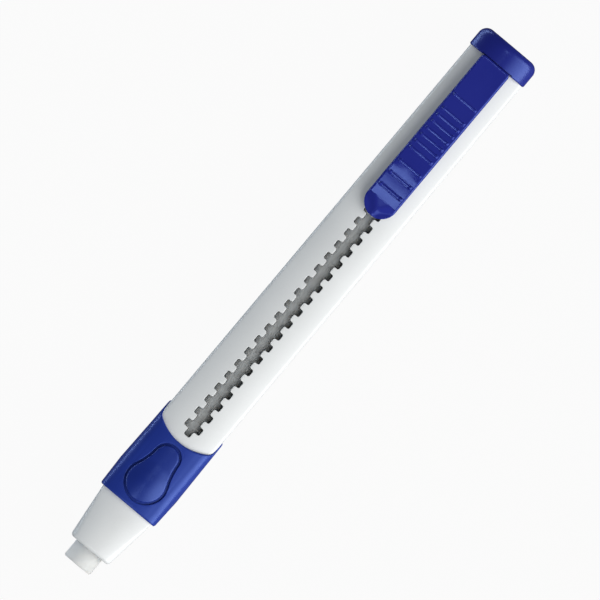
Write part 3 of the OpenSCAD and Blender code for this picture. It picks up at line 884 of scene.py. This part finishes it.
def rib_height(x, y):
    """How far the ribs stand out of the plate."""
    height = 0.0
    for rib in dish_ribs + fine_ribs:
        radius, tall = (narrow_radius, narrow_tall) if rib in narrow_ribs else (rib_radius, rib_tall)
        if abs(x - rib) < rib_reach:
            if abs(y) <= rib_half:
                height = max(height, bump(x - rib, radius, tall))
            height = max(height, bump(math.hypot(x - rib, abs(y) - rib_half), dot_radius, dot_tall))
    return height


print(f"{len(dish_ribs + fine_ribs)} ribs, and the dish is {dish_depth(dish_slopes[2][0]):.2f} mm deep")

# %% [markdown]
# ## The slider's plate
# The plate is a bar whose two front corners are rounded until they meet. Its long edges are softened, and
# it is sliced into a fine grid. Evenly spaced slices would miss the thin ribs, so the slices are placed at
# each rib and dot. Then every point's height is set by the thickness at its place.

# %% The slider's plate
tail_r, top_r, under_r, grid_step = 0.9, 0.45, 0.12, 0.3


def both_ways(steps):
    """The steps on both sides of a middle, and the middle itself."""
    return [-step for step in reversed(steps)] + [0] + steps


slider_bm = plate(slider_low.x, slider_high.x, plate_half, plate_under, plate_top)
front_corners = [e for e in slider_bm.edges if stands(e) and lies_at(e, x=slider_low.x)]
bevel(slider_bm, front_corners, plate_half - HAIR, 20)
bevel(slider_bm, [e for e in slider_bm.edges if stands(e) and lies_at(e, x=slider_high.x)], tail_r, 7)
bevel(slider_bm, [e for e in slider_bm.edges if lies_at(e, z=plate_top)], top_r, 5)
bevel(slider_bm, [e for e in slider_bm.edges if lies_at(e, z=plate_under)], under_r, 2)

rib_steps = both_ways([0.09, 0.17, 0.25, 0.31, 0.37, 0.43, 0.49])
rib_lines = [rib + step for rib in dish_ribs + fine_ribs for step in rib_steps]
rib_lines += [rib + step for rib in narrow_ribs for step in (-0.58, -0.51, 0.51, 0.58)]
crest_lines = [crest - 0.02, crest + 0.02]
slope_lines = [nose_of_plate + grid_step * i for i in range(1, 46)]
end_lines = [slider_high.x - step for step in (top_r + 0.01, top_r + 0.03, 0.95, 2.5, 5, 7.5)]
slice_at(slider_bm, sorted(rib_lines + crest_lines + slope_lines + end_lines), ALONG)
dot_lines = [rib_half + step for step in both_ways([0.1, 0.2, 0.29, 0.37, 0.43]) + [0.5, 0.54]]
middle_lines = [0.4 * i for i in range(-5, 6)]
slice_at(slider_bm, sorted([-line for line in dot_lines] + middle_lines + dot_lines), ACROSS)

for v in slider_bm.verts:
    x, y, up = v.co.x, v.co.y, (v.co.z - plate_under) / plate_thick
    v.co.z = plate_under + up * plate_thickness(x, y)
    if near(up, 1):
        v.co.z += rib_height(x, y)
piece("slider_plate", slider_bm, "slider", "blue_gloss", "thumb_slider")

# %% [markdown]
# ## The necks
# Two necks go down through the channel. The front one stands a little behind the latch's tooth and presses
# the latch, and the rear one carries the pin that the slider rocks on. They are plain blocks, and the pin is
# a cone with two equal radii, which is a cylinder. Extruding them from the plate would disturb its fine
# grid, so they are a piece of their own, and a Boolean joins the pin to its neck as one clean solid.

# %% The slider's necks and pin
neck_half, neck_length, pin_neck_half, neck_sunk = 0.7, 3.2, 0.75, 0.2
nose_over, neck_set, neck_drop = 3.63, 2.3, 1.13
pin_back, pin_drop, pin_radius, pin_length = 8.9, 2.6, 1.0, 5.0
front_neck = nose_of_plate + nose_over + neck_set
pin_x, pin_z = slider_high.x - pin_back, crown - pin_drop
necks_bm = plate(front_neck, front_neck + neck_length, neck_half, crown - neck_drop, plate_under + neck_sunk)
rear = plate(pin_x - pin_neck_half, pin_x + pin_neck_half, neck_half, pin_z, plate_under + neck_sunk)
pin = bmesh.ops.create_cone(rear, cap_ends=True, segments=32, radius1=pin_radius, radius2=pin_radius,
                            depth=pin_length)["verts"]
bmesh.ops.rotate(rear, verts=pin, matrix=Matrix.Rotation(math.pi / 2, 3, "X"))
bmesh.ops.translate(rear, verts=pin, vec=(pin_x, 0, pin_z))
necks_bm = carve(necks_bm, rear, "UNION")
piece("slider_necks", necks_bm, "slider", "blue_gloss")

# %% [markdown]
# ## The eraser
# A round stick of soft vinyl, whose end edge is worn round from use. A cylinder would do, but its end
# couldn't be rounded as evenly. So it is turned, as on a lathe: half its side view is spun once round the
# axis. It is sliced along its length first, so that its faces aren't long slivers.

# %% The eraser stick
stick_radius, worn_r, stick_step = eraser_high.y, 0.32, 2
stick_bm = bmesh.new()
tip, tail = eraser_low.x, eraser_high.x
side_view = [(tip, 0), (tip, stick_radius), (tail, stick_radius), (tail, 0)]
points = [stick_bm.verts.new((x, r, 0)) for x, r in side_view]
for pair in zip(points, points[1:]):
    stick_bm.edges.new(pair)
bmesh.ops.bevel(stick_bm, geom=[points[1]], offset=worn_r, segments=6, profile=0.5,
                affect="VERTICES", material=-1)
slice_at(stick_bm, [tip + stick_step * i for i in range(1, 45)], ALONG)
bmesh.ops.spin(stick_bm, geom=stick_bm.verts[:] + stick_bm.edges[:], cent=(0, 0, 0), axis=(1, 0, 0),
               angle=2 * math.pi, steps=96, use_merge=True)
bmesh.ops.remove_doubles(stick_bm, verts=stick_bm.verts, dist=1e-4)
bmesh.ops.translate(stick_bm, verts=stick_bm.verts, vec=(0, 0, axis))
bmesh.ops.recalc_face_normals(stick_bm, faces=stick_bm.faces)
piece("eraser_rod", stick_bm, "eraser", "eraser", "eraser_stick", sharp=50)

# %% [markdown]
# ## The pieces inside
# The carrier is the sledge that holds the eraser in its jaws, and its latch spring clicks into the slot's
# pockets. Both are plain mouldings that only show through the slot. They could be modelled again, but their
# CAD shapes are right as they are, so they keep their meshes and get the grey plastic.

# %% The carrier and the latch
for name in ("eraser_carrier", "latch_spring"):
    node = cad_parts[name]
    node.data.materials.clear()
    node.data.materials.append(finish_of["inner_plastic"])
    print(name, "keeps its CAD mesh")

# %% [markdown]
# ## The studio
# The photograph is a product shot on pure white, from straight above the slot face. A white floor under
# strong lamps would do that, but it would also light the holder from below. So the floor reflects little
# and takes the soft shadow, and only rays from the camera see most of it lifted to white. The world behind
# it does the same: plain and dim for the holder, white for the camera.

# %% The floor and the white background
floor_half, floor_grey, floor_rough, floor_lift = 2, 0.25, 0.9, 0.95
room_colour, room_light = (0.94, 0.98, 1, 1), 0.055

floor_bm = bmesh.new()
bmesh.ops.create_grid(floor_bm, x_segments=8, y_segments=8, size=floor_half)
floor = link("floor", floor_bm)
paper = bpy.data.materials.new("white_paper")
paper.use_nodes = True
nodes, links = paper.node_tree.nodes, paper.node_tree.links
nodes["Principled BSDF"].inputs["Base Color"].default_value = (floor_grey, floor_grey, floor_grey, 1)
nodes["Principled BSDF"].inputs["Roughness"].default_value = floor_rough
ray, lift, white, either = new_nodes(paper.node_tree, "LightPath", "Math", "Emission", "MixShader")
lift.operation, lift.inputs[1].default_value = "MULTIPLY", floor_lift
links.new(ray.outputs["Is Camera Ray"], lift.inputs[0])
links.new(lift.outputs["Value"], either.inputs["Fac"])
links.new(nodes["Principled BSDF"].outputs["BSDF"], either.inputs[1])
links.new(white.outputs["Emission"], either.inputs[2])
links.new(either.outputs["Shader"], nodes["Material Output"].inputs["Surface"])
floor.data.materials.append(paper)
floor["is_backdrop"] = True

world = bpy.data.worlds.new("studio")
bpy.context.scene.world = world
world.use_nodes = True
nodes, links = world.node_tree.nodes, world.node_tree.links
nodes["Background"].inputs["Color"].default_value = room_colour
nodes["Background"].inputs["Strength"].default_value = room_light
ray, white, either = new_nodes(world.node_tree, "LightPath", "Background", "MixShader")
links.new(ray.outputs["Is Camera Ray"], either.inputs["Fac"])
links.new(nodes["Background"].outputs["Background"], either.inputs[1])
links.new(white.outputs["Background"], either.inputs[2])
links.new(either.outputs["Shader"], nodes["World Output"].inputs["Surface"])
print(f"the floor is {2 * floor_half} m wide, and the camera sees it {floor_lift:.0%} white")

# %% [markdown]
# ## The lamps
# A glossy face mirrors what stands at twice its own tilt off the vertical, so each lamp is placed for the
# face that should shine. The key is a large soft box on one side, dark at its top and brighter downwards:
# the domed barrel is light on that side and falls off to grey without a hard line. A long low strip
# opposite draws the thin bright lines down the other edges. Narrow boxes beyond the two ends pick out the
# thumb dish, the pad and the slopes of the ribs. Straight overhead it is dark, so flat blue stays deep.
# Point lamps would be simpler, but they make hard dots on polished plastic.

# %% The lamps
def soft_lamp(name, azimuth, tilt, distance, width, height, glow, colour=(1, 1, 1), fade=False):
    """A soft box at an azimuth from +X and a tilt off the vertical, both in degrees, that faces the holder.
    Its other sizes are in metres. With fade, its top is dark and it grows brighter downwards."""
    a, t = math.radians(azimuth), math.radians(tilt)
    away = Vector((math.cos(a) * math.sin(t), math.sin(a) * math.sin(t), math.cos(t)))
    lamp = bpy.data.lights.new(name, "AREA")
    lamp.shape, lamp.size, lamp.size_y = "RECTANGLE", width, height
    lamp.energy, lamp.color = glow * math.pi * width * height, colour
    if fade:
        lamp.use_nodes = True
        tree = lamp.node_tree
        face, split, down = new_nodes(tree, "NewGeometry", "SeparateXYZ", "Math")
        down.operation, down.inputs[0].default_value = "SUBTRACT", 1
        tree.links.new(face.outputs["Parametric"], split.inputs[0])
        tree.links.new(split.outputs["Y"], down.inputs[1])
        tree.links.new(down.outputs["Value"], tree.nodes["Emission"].inputs["Strength"])
    made = bpy.data.objects.new(name, lamp)
    made.location = away * distance + UP * 10 * MM
    made.rotation_euler = away.to_track_quat("Z", "Y").to_euler()
    made.visible_camera = False
    bpy.context.scene.collection.objects.link(made)


away_from_holder = 1.8
warm_white, sky_white = (1, 0.992, 0.975), (0.84, 0.92, 1)
soft_lamp("key", -90, 46.5, away_from_holder, 2.7, 2.1, 6.4, warm_white, fade=True)
soft_lamp("strip", 90, 87, away_from_holder, 4.0, 0.15, 12.0, sky_white)
soft_lamp("head", 0, 14.5, away_from_holder, 0.12, 0.42, 6.0)
soft_lamp("foot", 180, 15, away_from_holder, 0.12, 0.26, 6.0)
soft_lamp("ribs", 180, 47, away_from_holder, 0.16, 1.0, 8.0)
print("lamps:", sorted(lamp.name for lamp in bpy.data.lights))

# %% [markdown]
# ## The camera
# The photograph is nearly free of perspective. An orthographic camera would be entirely free of it, so this
# one is far away with a long lens instead. It looks straight down on the slot face and is rolled so that
# the holder leans across the picture as it does there.

# %% The camera
view_x, view_y, view_width = 1.53, -0.12, 116.1
camera_roll, camera_height = -49.98, 5.0
lens_data = bpy.data.cameras.new("camera")
camera = bpy.data.objects.new("camera", lens_data)
bpy.context.scene.collection.objects.link(camera)
camera.location = (view_x * MM, view_y * MM, camera_height)
camera.rotation_euler = (0, 0, math.radians(camera_roll))
lens_data.sensor_width = 36
lens_data.lens = lens_data.sensor_width * (camera_height - crown * MM) / (view_width * MM)
lens_data.clip_start, lens_data.clip_end = 0.05, 20
bpy.context.scene.camera = camera
bpy.context.scene.view_settings.view_transform = "Standard"
print(f"the lens is {lens_data.lens:.0f} mm long")

# %% [markdown]
# ## Measures
# The visible pieces have to stay inside the CAD model's box, or the holder would look bigger than the solid
# that collides. Comparing two boxes by eye is slow, so both are printed.

# %% Measures and the end
visual_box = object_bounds()
for label, (low, high) in (("CAD", cad_box), ("visual", visual_box)):
    print(label, [round(a / MM, 2) for a in (*low, *high)])
